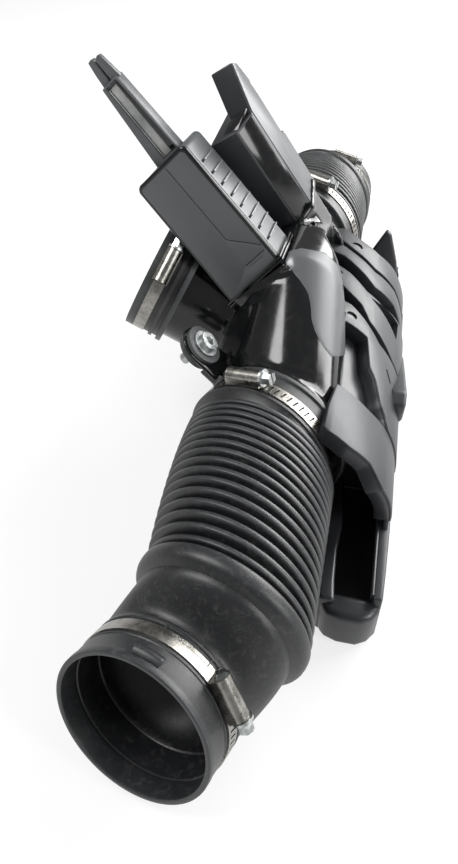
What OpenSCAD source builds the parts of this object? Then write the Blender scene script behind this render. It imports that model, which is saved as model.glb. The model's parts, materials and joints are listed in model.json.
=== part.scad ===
// Air intake resonator duct of a car engine bay.
// A moulded plenum with two corrugated hoses, an outlet to the throttle body,
// two leaning resonator boxes and a ribbed side silencer. It lies on the floor on
// the end of one hose, the collar of the other and the long rail of the silencer.
// The plenum runs along Y, X points to the silencer and Z points up.

/* [Plenum] */
// Outer radius of the two hose spigots
spigot_r = 51; // [46:0.5:54]
// Wall of the plenum
plenum_wall = 3; // [2.5:0.25:4]
// Distance of the near spigot's end from the middle of the plenum
spigot_y = 131; // [124:1:140]
// Distance of the far spigot's end from the middle of the plenum
far_spigot_y = 184; // [176:1:192]
// Height of the plenum's main passage above the floor
axis_z = 83; // [81:0.5:85]
// Angle by which each spigot turns towards the silencer
spigot_yaw = 20; // [14:0.5:24]
// Radius of the ridge on top of the plenum
ridge_r = 35; // [32:0.5:40]
// Height of the ridge's own centre
ridge_z = 144; // [138:0.5:148]

/* [Outlet] */
// Outer radius of the outlet pipe
outlet_r = 43; // [38:0.5:46]
// Distance of the outlet's mouth from the main passage
outlet_reach = 116; // [108:1:124]
// Angle by which the outlet rises
outlet_rise = 26; // [20:0.5:32]
// Length of the rubber cuff on the outlet
cuff_len = 31; // [28:1:38]
// Wall of the rubber cuff
cuff_wall = 3.5; // [3:0.25:5]
// Length of the cuff that grips the pipe it is pushed onto
outlet_grip = 20; // [16:1:22]

/* [Hoses] */
// Radius of the hose over its corrugations
crest_r = 57; // [56:0.5:59]
// Radius of the hose between its corrugations
root_r = 52.5; // [51.5:0.5:54]
// Distance between two corrugations
crest_pitch = 6.5; // [6:0.1:7]
// Number of corrugations
crest_count = 16; // [12:1:16]
// Wall of the hose
hose_wall = 3.5; // [3:0.25:4]
// Angle at which the corrugations lean across the hose
crest_yaw = 17; // [12:0.5:20]
// Radius of the hose's smooth collar
collar_r = 58; // [57.5:0.5:61]
// Length of the hose's smooth collar
collar_len = 13; // [11:0.5:18]
// Outer radius of the hose's mouth
mouth_r = 50; // [48:0.5:52]
// Length of the straight mouth
mouth_len = 34; // [30:1:38]

/* [Clamps] */
// Width of a clamp band
band_w = 9; // [8:0.5:11]
// Thickness of a clamp band
band_t = 0.9; // [0.7:0.1:1.2]
// Number of slots in a clamp band
slot_count = 16; // [8:1:18]
// Length of a clamp's housing
housing_len = 26; // [22:1:28]

/* [Resonator boxes] */
// Width of the near box
box_w = 47; // [42:1:52]
// Length of the near box
near_len = 104; // [96:1:112]
// Depth of the near box
near_depth = 38; // [34:1:40]
// Width of the far box
far_w = 34; // [30:1:38]
// Length of the far box
far_len = 86; // [80:1:92]
// Depth of the far box
far_depth = 44; // [40:1:48]
// Wall of the boxes
box_wall = 2.5; // [2:0.25:3.5]
// Angle by which the near box leans
near_lean = 43.5; // [40:0.5:46]
// Angle by which the far box leans
far_lean = 31.5; // [28:0.5:36]
// Length of the near box's horn
horn_len = 57; // [48:1:64]
// Number of steps on the near box's upper side
step_count = 9; // [5:1:10]

/* [Side silencer] */
// Length of the silencer from end to end
frame_len = 435; // [420:1:456]
// Radius of the silencer's arched straps
arch_r = 80; // [76:0.5:82]
// Wall of the silencer
frame_wall = 3; // [2.5:0.25:4]
// Height of the silencer's low end above the floor
foot_h = 30; // [26:1:36]

/* [Mounting eye] */
// Radius of the rubber grommet
grommet_r = 14.5; // [14:0.5:17]
// Radius of the bolt's head
bolt_head_r = 10; // [9:0.5:11]
// Radius of the bolt's shank
bolt_r = 4; // [3:0.25:4.5]

/* [Hidden] */
$fn = 96;

// Shift of the whole part that puts the middle of its box on the origin
centre_x = 23.48;
centre_y = -15.76;

rubber = [0.13, 0.13, 0.14];
gloss_black = [0.07, 0.07, 0.08];
satin_grey = [0.3, 0.31, 0.32];
steel = [0.78, 0.77, 0.74];
zinc = [0.8, 0.81, 0.8];

insert_len = 24;
spigot_x = -2;

module placed() {
    translate([centre_x, centre_y, 0]) children();
}

module ring(outer, inner, height) {
    difference() {
        cylinder(r = outer, h = height);
        translate([0, 0, -1]) cylinder(r = inner, h = height + 2);
    }
}

// Plenum

// Shift that carries the near spigot, half turned about Z, to the far one
far_shift = [-10, far_spigot_y - spigot_y, 8];

// Carries a spigot: local Z points out of the plenum along the spigot
module at_spigot(side) {
    if (side < 0) translate([spigot_x, -spigot_y, axis_z]) rotate([0, 0, -spigot_yaw]) rotate([90, 0, 0]) children();
    else translate(far_shift) rotate([0, 0, 180]) at_spigot(-1) children();
}

outlet_from = [-10, 0, 90];
module at_outlet() {
    translate(outlet_from) rotate([0, -90 + outlet_rise, 0]) children();
}

ridge_x = 5;
belly_x = -4;
belly_r = 49;
ridge_half = 24;
belly_half = 58;
spigot_len = 30;

module plenum_skin(inset) {
    hull($fn = 40) {
        for (side = [-1, 1]) at_spigot(side) translate([0, 0, 4 - spigot_len])
            cylinder(r = spigot_r - 0.8 - inset, h = 2);
        translate([ridge_x, 0, ridge_z]) rotate([90, 0, 0])
            cylinder(r = ridge_r - inset, h = 2 * (ridge_half - inset), center = true);
        translate([belly_x, 0, axis_z]) rotate([90, 0, 0])
            cylinder(r = belly_r - inset, h = 2 * (belly_half - inset), center = true);
    }
}

near_base = [-4.8, -36, 178.3];
far_base = [5.4, 29, 184.4];
far_splay = 14;
near_splay = 3;
socket_rim = 3;
socket_depth = 46;

module at_near() {
    translate(near_base) rotate([0, -near_lean, 0]) rotate([-near_splay, 0, 0]) children();
}
module at_far() {
    translate(far_base) rotate([0, -far_lean, 0]) rotate([far_splay, 0, 0]) children();
}

// Collar on which a resonator box stands; its local frame is the box's own
module socket(width, depth) {
    translate([-width, 0, -socket_depth]) cube([width, depth, socket_depth]);
    translate([-width - socket_rim, -socket_rim, -5])
        cube([width + 2 * socket_rim, depth + 2 * socket_rim, 5]);
}

eye_at = [-52.2, -86.7, 135.2];
eye_lean = 46;
eye_r = grommet_r + 2;
eye_t = 4;
bracket_len = 31;

module at_eye() {
    translate(eye_at) rotate([0, eye_lean, 0]) children();
}

// Line on X and Z on which the silencer meets the plenum, as its X at a height
function seat_x(z) = 43 + (150 - z) * 0.215;

module side_pad(y) {
    along_y(y, 12) polygon([[20, 96], [seat_x(96), 96], [seat_x(120), 120], [20, 120]]);
}

module eye_plate() {
    difference() {
        at_eye() translate([0, 0, -eye_t]) {
            cylinder(r = eye_r, h = eye_t);
            translate([0, -eye_r, 0]) cube([bracket_len, 2 * eye_r, eye_t]);
            translate([eye_r - 2, -2, -14]) cube([bracket_len - eye_r + 2, 4, 15]);
        }
        at_spigot(-1) translate([0, 0, -insert_len - 1])
            cylinder(r = spigot_r + hose_wall + 2.5, h = 2 * insert_len);
    }
}

notch_at = [20, 19.5, 106];
notch_end = 90;
notch_near = [42, -16];

// Shoulder cut away on the far side, where the silencer's straps reach in
module notch(inset) {
    translate([0, 0, notch_at[2] - inset]) linear_extrude(120) offset(delta = inset)
        polygon([notch_near, [notch_at[0], notch_at[1]], [notch_at[0], notch_end], [100, notch_end], [100, notch_near[1]]]);
}

module plenum() {
    color(gloss_black) placed() difference() {
        union() {
            difference() {
                union() {
                    plenum_skin(0);
                    at_outlet() cylinder(r = outlet_r, h = outlet_reach - outlet_grip);
                }
                at_near() translate([-box_w, 0, 0]) cube([box_w, near_depth, 30]);
                at_far() linear_extrude(30) far_profile(0, 0);
            }
            for (side = [-1, 1]) at_spigot(side) translate([0, 0, -spigot_len]) {
                cylinder(r = spigot_r, h = spigot_len);
                translate([0, 0, spigot_len - insert_len - 4]) cylinder(r = spigot_r + 3, h = 3.5);
            }
            at_near() socket(box_w, near_depth);
            at_far() translate([0, 0, -socket_depth]) linear_extrude(socket_depth) far_profile(0, 0);
            at_far() translate([0, 0, -5]) linear_extrude(5) offset(delta = socket_rim) far_profile(0, 0);
            eye_plate();
            for (y = [-12, 28, 74]) side_pad(y);
        }
        difference() {
            plenum_skin(plenum_wall);
            notch(plenum_wall);
        }
        notch(0);
        for (side = [-1, 1]) at_spigot(side) translate([0, 0, -spigot_len - 3])
            cylinder(r = spigot_r - plenum_wall, h = spigot_len + 5);
        at_outlet() cylinder(r = outlet_r - plenum_wall, h = outlet_reach);
        at_eye() translate([0, 0, -eye_t - 1]) cylinder(r = grommet_r - 3, h = eye_t + 2);
    }
}

// Hoses

hose_from = spigot_y + 9;
crest_step = crest_pitch / cos(crest_yaw);
bellows_end = hose_from + crest_count * crest_step;
bellows_bore = root_r - 4.5;
lap = 0.4;
crest_x = -1;

// One corrugation as a turned section, its middle on the local origin
module corrugation(back) {
    half = crest_pitch / 2;
    rotate_extrude() polygon([
        [bellows_bore, -half - back], [root_r, -half - back], [root_r, -half + 0.6], [crest_r - 1, -1.1],
        [crest_r, 0], [crest_r - 1, 1.1], [root_r, half - 0.6], [root_r, half + lap], [bellows_bore, half + lap]]);
}

// Height that the hose's middle loses over a share of its corrugations
function hose_drop(share, fall) = 2 - (fall[0] - fall[1]) * share + fall[0] * share * share;

// Local Z points out along the hose, leaning as the corrugations do
module at_crest(distance, drop) {
    translate([crest_x, -distance, axis_z - drop]) rotate([0, 0, -crest_yaw]) rotate([90, 0, 0]) children();
}

module bellows(fall) {
    for (k = [0 : crest_count - 1])
        at_crest(hose_from + (k + 0.5) * crest_step, hose_drop(k / (crest_count - 1), fall))
            corrugation(k == 0 ? 5 : lap);
}

// Smooth collar behind the corrugations, turned with a rounded shoulder at each end
module collar(bore, back) {
    rotate_extrude() polygon([
        [bore, -back], [root_r + 1.5, -back], [collar_r - 3, 0.8], [collar_r - 0.8, 2], [collar_r, 4],
        [collar_r, collar_len - 5], [collar_r - 1.2, collar_len - 1.5], [collar_r - 3.4, collar_len], [bore, collar_len]]);
}

cuff_r = mouth_r - 0.5;
mouth_bore = mouth_r - hose_wall;

neck_r = 47.5;

mouth_rh = [-36, -327, 57.3];
mouth_rh_turn = [17, -17];
mouth_lh = [-8, -324, 43.38];
mouth_lh_turn = [0, -2];
fall_rh = [36, 16];
fall_lh = [30, 20];

module at_mouth(place, turn) {
    translate(place) rotate([0, 0, -turn[0]]) rotate([90 + turn[1], 0, 0]) children();
}

// Bend between the collar and the mouth; inset keeps the wall for the bore
module hose_neck(place, turn, inset, fall) {
    hull($fn = 44) {
        at_crest(bellows_end, hose_drop(1, fall)) translate([0, 0, collar_len - 3.7 - inset / 2])
            cylinder(r = neck_r - inset, h = 2);
        at_mouth(place, turn) translate([0, 0, 3 - mouth_len]) cylinder(r = cuff_r - 0.7 - inset, h = 2);
    }
}

module hose(place, turn, fall) {
    difference() {
        union() {
            at_spigot(-1) translate([0, 0, -insert_len]) cylinder(r = spigot_r + hose_wall, h = insert_len + 9);
            at_spigot(-1) translate([0, 0, -insert_len]) cylinder(r = spigot_r + hose_wall + 1.5, h = 4);
            bellows(fall);
            at_crest(bellows_end, hose_drop(1, fall)) collar(bellows_bore - 1.6, lap);
            hose_neck(place, turn, 0, fall);
            at_mouth(place, turn) translate([0, 0, -mouth_len]) cylinder(r = cuff_r, h = mouth_len);
            at_mouth(place, turn) translate([0, 0, -5]) cylinder(r = mouth_r, h = 5);
        }
        at_spigot(-1) translate([0, 0, -insert_len - 1]) cylinder(r = spigot_r, h = insert_len + 3);
        at_crest(hose_from + crest_step / 2, hose_drop(0, fall)) translate([0, 0, -14]) cylinder(r = bellows_bore, h = 13);
        at_crest(bellows_end, hose_drop(1, fall)) translate([0, 0, 3])
            cylinder(r = collar_r - hose_wall - 1, h = collar_len - 7);
        hose_neck(place, turn, hose_wall, fall);
        at_mouth(place, turn) translate([0, 0, -mouth_len - 2]) cylinder(r = mouth_bore, h = mouth_len + 4);
    }
}

module hose_rh() {
    color(rubber) placed() hose(mouth_rh, mouth_rh_turn, fall_rh);
}

module hose_lh() {
    color(rubber) placed() translate(far_shift) rotate([0, 0, 180]) hose(mouth_lh, mouth_lh_turn, fall_lh);
}

// Outlet cuff

// Step inside the cuff that stops it on the outlet pipe
cuff_stop = 1;

module outlet_cuff() {
    color(rubber) placed() at_outlet() translate([0, 0, outlet_reach - cuff_len]) difference() {
        union() {
            cylinder(r = outlet_r + cuff_wall, h = cuff_len);
            cylinder(r = outlet_r + cuff_wall + 2.5, h = 4);
            translate([0, 0, 8]) cylinder(r = outlet_r + cuff_wall + 1.8, h = 3);
            translate([0, 0, cuff_len - 6]) cylinder(r = outlet_r + cuff_wall + 0.8, h = 6);
        }
        translate([0, 0, -1]) cylinder(r = outlet_r, h = cuff_len - outlet_grip + 2);
        cylinder(r = outlet_r - cuff_stop, h = cuff_len + 1);
    }
}

// Worm-drive clamps

housing_w = band_w + 3;
housing_h = 9;
screw_r = 4;
head_r = 4.5;
head_len = 6;
washer_t = 1.6;
slot_w = 1.3;
slot_pitch = 5;

// Ring with angled slots over a part of its turn, its middle on the local origin
module clamp_band(r) {
    difference() {
        translate([0, 0, -band_w / 2]) ring(r + band_t, r, band_w);
        for (k = [0 : slot_count - 1]) rotate([0, 0, 14 + k * slot_pitch])
            translate([r + band_t / 2, 0, 0]) rotate([14, 0, 0])
            cube([4 * band_t, slot_w, band_w * 0.62], center = true);
    }
}

// Pressed trough that holds the screw; local X points out, Y runs with the screw
module clamp_housing(r) {
    difference() {
        translate([r + band_t, -housing_len / 2, 0]) {
            translate([0, 0, -housing_w / 2]) cube([housing_h - housing_w / 2 + 2, housing_len, housing_w]);
            translate([housing_h - housing_w / 2 + 1, 0, 0]) rotate([-90, 0, 0])
                cylinder(r = housing_w / 2 - 0.5, h = housing_len);
        }
        translate([r + band_t + screw_seat(), -housing_len / 2 - 1, 0]) rotate([-90, 0, 0])
            cylinder(r = screw_r, h = housing_len + 2);
        translate([0, 0, -housing_w]) cylinder(r = r + band_t, h = 2 * housing_w);
    }
}

function screw_seat() = screw_r + 1;

module clamp_screw(r) {
    translate([r + band_t + screw_seat(), housing_len / 2 + 0.3, 0]) rotate([-90, 0, 0]) difference() {
        union() {
            translate([0, 0, -housing_len]) cylinder(r = screw_r - 0.3, h = housing_len);
            cylinder(r = head_r + 1.5, h = washer_t);
            translate([0, 0, washer_t]) cylinder(r = head_r, h = head_len, $fn = 6);
        }
        translate([-head_r, -0.6, washer_t + head_len - 2]) cube([2 * head_r, 1.2, 3]);
    }
}

mouth_band_r = cuff_r;
spigot_band_r = spigot_r + hose_wall;
outlet_band_r = outlet_r + cuff_wall;

module on_rh_mouth() {
    placed() at_mouth(mouth_rh, mouth_rh_turn) translate([0, 0, 10 - mouth_len]) rotate([0, 0, 36])
        mirror([0, 1, 0]) children();
}
module on_rh_spigot() {
    placed() at_spigot(-1) translate([0, 0, -6]) rotate([0, 0, 105]) mirror([0, 1, 0]) children();
}
module on_lh_spigot() {
    placed() at_spigot(1) translate([0, 0, -6]) rotate([0, 0, 97]) children();
}
module on_lh_mouth() {
    placed() translate(far_shift) rotate([0, 0, 180]) at_mouth(mouth_lh, mouth_lh_turn)
        translate([0, 0, 10 - mouth_len]) rotate([0, 0, 105]) children();
}
module on_outlet() {
    placed() at_outlet() translate([0, 0, outlet_reach - 11]) rotate([0, 0, -48]) children();
}

module band_rh_mouth() { color(steel) on_rh_mouth() clamp_band(mouth_band_r); }
module housing_rh_mouth() { color(steel) on_rh_mouth() clamp_housing(mouth_band_r); }
module screw_rh_mouth() { color(zinc) on_rh_mouth() clamp_screw(mouth_band_r); }
module band_rh_spigot() { color(steel) on_rh_spigot() clamp_band(spigot_band_r); }
module housing_rh_spigot() { color(steel) on_rh_spigot() clamp_housing(spigot_band_r); }
module screw_rh_spigot() { color(zinc) on_rh_spigot() clamp_screw(spigot_band_r); }
module band_lh_spigot() { color(steel) on_lh_spigot() clamp_band(spigot_band_r); }
module housing_lh_spigot() { color(steel) on_lh_spigot() clamp_housing(spigot_band_r); }
module screw_lh_spigot() { color(zinc) on_lh_spigot() clamp_screw(spigot_band_r); }
module band_lh_mouth() { color(steel) on_lh_mouth() clamp_band(mouth_band_r); }
module housing_lh_mouth() { color(steel) on_lh_mouth() clamp_housing(mouth_band_r); }
module screw_lh_mouth() { color(zinc) on_lh_mouth() clamp_screw(mouth_band_r); }
module band_outlet() { color(steel) on_outlet() clamp_band(outlet_band_r); }
module housing_outlet() { color(steel) on_outlet() clamp_housing(outlet_band_r); }
module screw_outlet() { color(zinc) on_outlet() clamp_screw(outlet_band_r); }

// Resonator boxes

cover_t = 4;
corner_r = 5;

// Slab with rounded corners that stands on X and Z and is depth thick along Y
module slab(width, height, depth, r) {
    translate([0, depth, 0]) rotate([90, 0, 0]) linear_extrude(depth) {
        translate([r, 0]) square([width - 2 * r, height]);
        translate([0, r]) square([width, height - 2 * r]);
        for (x = [r, width - r], z = [r, height - r]) translate([x, z]) circle(r);
    }
}

horn_x = 7.5;
horn_w = 24.5;
horn_tip_w = 12.5;
horn_depth = 16;
horn_y = 13;
step_w = 3;
step_h = 1.4;
fork_len = 20;

module horn_outline(inset) {
    polygon([[-horn_x - horn_w + inset, -inset - 2], [-horn_x - inset, -inset - 2],
        [-horn_x - 4 - inset, horn_len - inset], [-horn_x - 4 - horn_tip_w + inset, horn_len - inset]]);
}

module near_resonator() {
    color(satin_grey) placed() at_near() difference() {
        union() {
            translate([-box_w, cover_t, 0]) slab(box_w, near_len, near_depth - cover_t, corner_r);
            for (k = [0 : step_count - 1]) translate([-1, cover_t + 3, 10 + k * (near_len - 18) / step_count])
                cube([1 + step_h, near_depth - cover_t - 6, step_w]);
            translate([0, horn_y + horn_depth, near_len]) rotate([90, 0, 0])
                linear_extrude(horn_depth) horn_outline(0);
            translate([0, horn_y + 4, near_len + horn_len]) {
                translate([-horn_x - 15, -1, -2]) cube([5, 8, fork_len + 2]);
                translate([-horn_x - 12, 2, -2]) cube([7, 7, fork_len]);
            }
        }
        translate([-box_w + box_wall, -1, box_wall])
            slab(box_w - 2 * box_wall, near_len - 2 * box_wall, near_depth + 1 - box_wall, corner_r - 2);
        translate([0, horn_y + 3, near_len + 6]) rotate([90, 0, 0]) linear_extrude(3 + 1) horn_outline(6);
    }
}

module near_cover() {
    color(satin_grey) placed() at_near() translate([-box_w, 0, 0]) slab(box_w, near_len, cover_t, corner_r);
}

chamfer = 13;
tip_len = 29;
tip_w = 17;

far_back = 18;

// Section of the far box across its length, on local X and Y
module far_profile(inset, open) {
    polygon([[-chamfer - inset / 2, inset], [-inset, chamfer + inset / 2],
        [-inset, far_depth - inset + open], [-far_back + 1.4 * inset, far_depth - inset + open],
        [-far_w + 1.4 * inset, inset]]);
}

module far_resonator() {
    color(gloss_black) placed() at_far() difference() {
        union() {
            linear_extrude(far_len) far_profile(0, 0);
            translate([-tip_w, 0, far_len]) rotate([90, 0, 90]) linear_extrude(tip_w)
                polygon([[chamfer, -8], [chamfer, 0], [34, tip_len], [far_depth - 3, tip_len - 5], [far_depth - 1, -8]]);
        }
        translate([0, 0, box_wall]) linear_extrude(far_len - 2 * box_wall) far_profile(box_wall, box_wall + 1);
    }
}

module far_cover() {
    color(satin_grey) placed() at_far() translate([-far_back, far_depth, 0]) slab(far_back, far_len, cover_t, corner_r);
}

// Side silencer

arch_at = [17, 54];
gap_r = 71;
gap_at = [19, 36];
frame_y = -209;
rail_x = 98;
rail_w = 11;
rail_h = 39;
inner_rail_x = 57;
wing_y = -104;
passage_x = 6;

// Extrudes an outline drawn on X and Z from y0 over a length
module along_y(y0, length) {
    translate([0, y0 + length, 0]) rotate([90, 0, 0]) linear_extrude(length) children();
}

// Room right of the plenum's side and above the rail, for the arched outlines
module right_of_seat() {
    difference() {
        polygon([[seat_x(rail_h), rail_h - 2], [seat_x(150), 150], [120, 150], [120, rail_h - 2]]);
        translate([passage_x, axis_z]) circle(52);
    }
}

// The same room with the plenum's notch added
module in_notch() {
    right_of_seat();
    translate([notch_at[0], notch_at[2]]) square([60, 44]);
}

module arch_band(at, outer, inner, deep) {
    intersection() {
        translate(at) difference() {
            circle(outer);
            circle(inner);
        }
        if (deep) in_notch(); else right_of_seat();
    }
}

// Area between the straps' outer arch and the arch of the gaps between them
module arch_wall(outer, deep) {
    intersection() {
        translate(arch_at) circle(outer);
        if (deep) in_notch(); else right_of_seat();
        difference() {
            translate([0, -200]) square(400);
            translate(gap_at) circle(gap_r - frame_wall);
        }
    }
}

module strap(y0, length, outer) {
    deep = y0 > 20 && y0 < 88;
    along_y(y0, length) arch_band(arch_at, outer, outer - frame_wall, deep);
    for (y = [y0, y0 + length - frame_wall]) along_y(y, frame_wall) arch_wall(outer, deep);
}

module gap(y0, length, deep) {
    along_y(y0, length) arch_band(gap_at, gap_r, gap_r - frame_wall, deep);
}

// Rail as a channel that is open below
module rail(x0, x1, y0, length) {
    along_y(y0, length) polygon([
        [x0, 0], [x0 + frame_wall, 0], [x0 + frame_wall, rail_h - frame_wall], [x1 - frame_wall, rail_h - frame_wall],
        [x1 - frame_wall, 0], [x1, 0], [x1 - 1, rail_h], [x0 + 1, rail_h]]);
}

strap_from = [-22, 21, 71, 93];
strap_len = [21, 37, 17, 29.5];
strap_r = [arch_r, arch_r - 1, arch_r - 7, arch_r - 9];
far_rail_x = rail_x - 8;
near_rail_x = rail_x - 4;
far_rail_y = 60;
end_y = frame_y + frame_len;
foot_len = 14;
foot_round = 8;

// Near end of the silencer seen from above, rounded at its two outer corners
module foot_outline() {
    translate([inner_rail_x, foot_round]) square([near_rail_x - inner_rail_x, foot_len - foot_round]);
    translate([inner_rail_x + foot_round, 0]) square([near_rail_x - inner_rail_x - 2 * foot_round, foot_len]);
    for (x = [inner_rail_x, near_rail_x - 2 * foot_round]) translate([x + foot_round, foot_round]) circle(foot_round);
}

module side_silencer() {
    color(satin_grey) placed() {
        rail(near_rail_x - rail_w, near_rail_x, frame_y + foot_round, wing_y - frame_y - foot_round + 4);
        rail(rail_x - rail_w, rail_x, wing_y, far_rail_y - wing_y);
        rail(far_rail_x - rail_w, far_rail_x, far_rail_y - frame_wall, end_y - far_rail_y + frame_wall);
        along_y(far_rail_y - frame_wall, frame_wall) translate([far_rail_x - rail_w, 0])
            square([rail_x - far_rail_x + rail_w, rail_h]);
        rail(inner_rail_x, inner_rail_x + rail_w, frame_y + foot_round, wing_y - frame_y - foot_round + 4);
        translate([0, frame_y, 0]) linear_extrude(foot_h) foot_outline();
        along_y(frame_y + foot_round, wing_y - frame_y - foot_round) translate([inner_rail_x, 0])
            square([near_rail_x - inner_rail_x, frame_wall]);
        along_y(wing_y, 4) difference() {
            polygon([[inner_rail_x, 0], [rail_x, 0], [rail_x, rail_h], [83, 97], [46, 132], [44, 60], [inner_rail_x, 50]]);
            translate([passage_x, axis_z]) circle(55.5);
        }
        along_y(wing_y, 4) translate([inner_rail_x, 0]) square([rail_x - inner_rail_x, rail_h]);
        for (k = [0 : 3]) strap(strap_from[k], strap_len[k], strap_r[k]);
        gap(wing_y, -wing_y - 18, false);
        gap(-2, 24, false);
        gap(57, 16, true);
        gap(87, 7, false);
        along_y(119.5, 4) polygon([[64, 70], [68, 92], [far_rail_x, rail_h], [far_rail_x, 0], [far_rail_x - 8, 0]]);
        along_y(end_y - 20, 4) polygon([[far_rail_x - 10, 0], [far_rail_x, 0], [far_rail_x, rail_h], [74, 84],
            [69, 86], [66, 60]]);
    }
}

// Mounting eye

flange_t = 3;

module grommet() {
    color(rubber) placed() at_eye() difference() {
        union() {
            translate([0, 0, -eye_t]) cylinder(r = grommet_r - 3, h = eye_t);
            cylinder(r = grommet_r, h = flange_t);
            translate([0, 0, -eye_t - flange_t]) cylinder(r = grommet_r, h = flange_t);
        }
        translate([0, 0, -eye_t - flange_t - 1]) cylinder(r = sleeve_r, h = eye_t + 2 * flange_t + 2);
    }
}

sleeve_r = bolt_r + 2.5;

module sleeve() {
    color(steel) placed() at_eye() translate([0, 0, -eye_t - flange_t])
        ring(sleeve_r, bolt_r + 0.3, eye_t + 2 * flange_t);
}

thread_len = 11;
bolt_len = eye_t + 2 * flange_t + thread_len + 1;

module bolt() {
    color(zinc) placed() at_eye() translate([0, 0, flange_t]) difference() {
        union() {
            cylinder(r = bolt_head_r, h = 1.5);
            translate([0, 0, 1.5]) cylinder(r = 7, h = 4);
            translate([0, 0, -bolt_len]) cylinder(r = bolt_r - 0.4, h = bolt_len + 1);
            translate([0, 0, -bolt_len]) cylinder(r = bolt_r, h = thread_len);
        }
        translate([0, 0, 2]) cylinder(r = 3.5, h = 5, $fn = 6);
    }
}

plenum();
side_silencer();
near_resonator();
near_cover();
far_resonator();
far_cover();
hose_rh();
hose_lh();
outlet_cuff();
band_rh_mouth();
housing_rh_mouth();
screw_rh_mouth();
band_rh_spigot();
housing_rh_spigot();
screw_rh_spigot();
band_lh_spigot();
housing_lh_spigot();
screw_lh_spigot();
band_lh_mouth();
housing_lh_mouth();
screw_lh_mouth();
band_outlet();
housing_outlet();
screw_outlet();
grommet();
sleeve();
bolt();
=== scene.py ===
"""Visual model of an air intake resonator duct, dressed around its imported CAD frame."""
from __future__ import annotations

import json
import logging
import math
from dataclasses import dataclass, field
from enum import Enum, IntEnum
from typing import Callable, Iterable, Optional, Sequence

import bpy
from mathutils import Matrix, Vector

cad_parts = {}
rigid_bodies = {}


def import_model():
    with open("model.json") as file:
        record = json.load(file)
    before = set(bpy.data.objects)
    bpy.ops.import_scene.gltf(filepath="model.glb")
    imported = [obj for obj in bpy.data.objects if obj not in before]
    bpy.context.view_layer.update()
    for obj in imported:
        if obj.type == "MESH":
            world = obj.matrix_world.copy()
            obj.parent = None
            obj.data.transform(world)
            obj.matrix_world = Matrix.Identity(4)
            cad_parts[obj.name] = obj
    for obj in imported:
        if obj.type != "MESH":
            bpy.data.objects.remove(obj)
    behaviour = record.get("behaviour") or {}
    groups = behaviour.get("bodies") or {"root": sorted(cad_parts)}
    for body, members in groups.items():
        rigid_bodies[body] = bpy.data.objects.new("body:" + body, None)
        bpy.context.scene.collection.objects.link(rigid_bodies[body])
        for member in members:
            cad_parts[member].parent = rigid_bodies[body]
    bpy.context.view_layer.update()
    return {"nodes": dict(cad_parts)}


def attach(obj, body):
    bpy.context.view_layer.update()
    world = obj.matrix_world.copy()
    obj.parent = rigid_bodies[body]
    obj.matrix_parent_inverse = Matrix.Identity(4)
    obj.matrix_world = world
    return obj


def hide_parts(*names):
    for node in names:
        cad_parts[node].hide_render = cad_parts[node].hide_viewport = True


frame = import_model()
NODES = frame["nodes"]

LOG = logging.getLogger("duct")
MM = 0.001
Point2 = tuple[float, float]
Slot = tuple[float, float, float, float, float]
# Shift in millimetres from the part's own axes to the scene's frame
SHIFT = Vector((23.48, -15.76, 0.0))
TO_SCENE = Matrix.Scale(MM, 4) @ Matrix.Translation(SHIFT)


# Colours and nodes


def linear(colour: str) -> tuple[float, float, float, float]:
    """Turns an sRGB hex colour into Blender's linear one.

    Args:
        colour: Six hex digits after a hash sign.

    Returns:
        Red, green, blue and an alpha of one.
    """
    parts = [int(colour[i:i + 2], 16) / 255 for i in (1, 3, 5)]
    red, green, blue = [c / 12.92 if c <= 0.04045 else ((c + 0.055) / 1.055) ** 2.4 for c in parts]
    return red, green, blue, 1.0


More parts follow.
